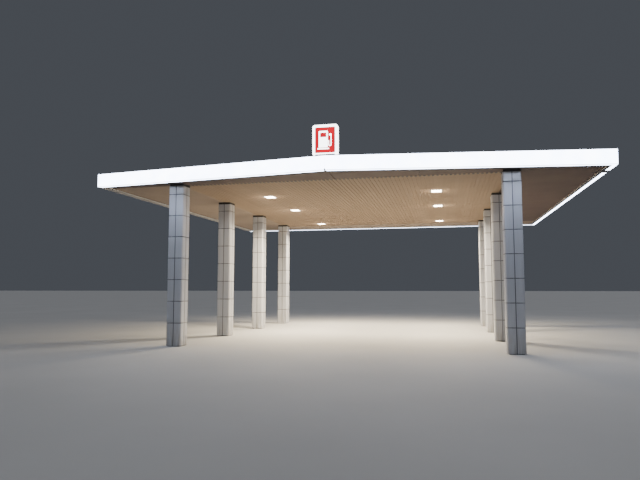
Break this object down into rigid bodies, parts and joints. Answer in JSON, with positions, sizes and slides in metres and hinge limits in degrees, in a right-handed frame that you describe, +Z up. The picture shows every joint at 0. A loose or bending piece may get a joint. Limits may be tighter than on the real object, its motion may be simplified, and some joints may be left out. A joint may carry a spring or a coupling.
{
  "type": "filling station canopy",
  "caption": "Flat filling station canopy with a lit, kinked fascia on two rows of square metal-clad columns, with a strip ceiling, recessed downlights and an upright lit sign.",
  "frame": {"origin": "on the ground, below the middle of the canopy's plan", "axes": "+X along the rear edge to the right seen from the front, the front towards -Y, +Z up"},
  "size_m": [13.75, 13.7796, 5.667],
  "materials": {
    "column_cladding": "silver metallic coated composite panel, satin",
    "post_steel": "primed dark grey steel",
    "cladding_rail": "mill finish, dulled",
    "structural_steel": "grey primer",
    "ceiling_carrier": "galvanised",
    "ceiling_strip": "beige coil coating, satin",
    "ceiling_border": "beige coil coating, satin",
    "fascia_face_lit": "opal light box face",
    "fascia_face_plain": "white coated sheet, unlit",
    "fascia_tray": "white coated sheet",
    "coping": "white coated flashing",
    "roof_deck": "galvanised and light grey coated",
    "gutter": "light grey coated",
    "light_housing": "white powder coat",
    "light_lens": "opal lit lens",
    "sign_cabinet": "white powder coat",
    "sign_face": "lit acrylic"
  },
  "bodies": {
    "root": {"cladding_left_1": "column_cladding", "post_left_1": "post_steel", "cladding_left_2": "column_cladding", "post_left_2": "post_steel", "cladding_left_3": "column_cladding", "post_left_3": "post_steel", "cladding_left_4": "column_cladding", "post_left_4": "post_steel", "cladding_rails_left": "cladding_rail", "cladding_right_1": "column_cladding", "post_right_1": "post_steel", "cladding_right_2": "column_cladding", "post_right_2": "post_steel", "cladding_right_3": "column_cladding", "post_right_3": "post_steel", "cladding_right_4": "column_cladding", "post_right_4": "post_steel", "cladding_rails_right": "cladding_rail", "cross_beams": "structural_steel", "edge_beams": "structural_steel", "purlins": "structural_steel", "ceiling_carriers": "ceiling_carrier", "ceiling_strips_front": "ceiling_strip", "ceiling_strips_rear": "ceiling_strip", "ceiling_border_front": "ceiling_border", "ceiling_border_rear": "ceiling_border", "ceiling_border_left": "ceiling_border", "ceiling_border_right": "ceiling_border", "fascia_face_front_left": "fascia_face_lit", "fascia_tray_front_left": "fascia_tray", "fascia_face_front_right": "fascia_face_lit", "fascia_tray_front_right": "fascia_tray", "fascia_face_right": "fascia_face_lit", "fascia_tray_right": "fascia_tray", "fascia_face_rear": "fascia_face_lit", "fascia_tray_rear": "fascia_tray", "fascia_face_left": "fascia_face_plain", "fascia_tray_left": "fascia_tray", "coping": "coping", "roof_deck": "roof_deck", "rear_gutter": "gutter", "downlight_housings": "light_housing", "downlight_lenses": "light_lens", "sign_cabinet": "sign_cabinet", "sign_faces": "sign_face"}
  },
  "joints": []
}
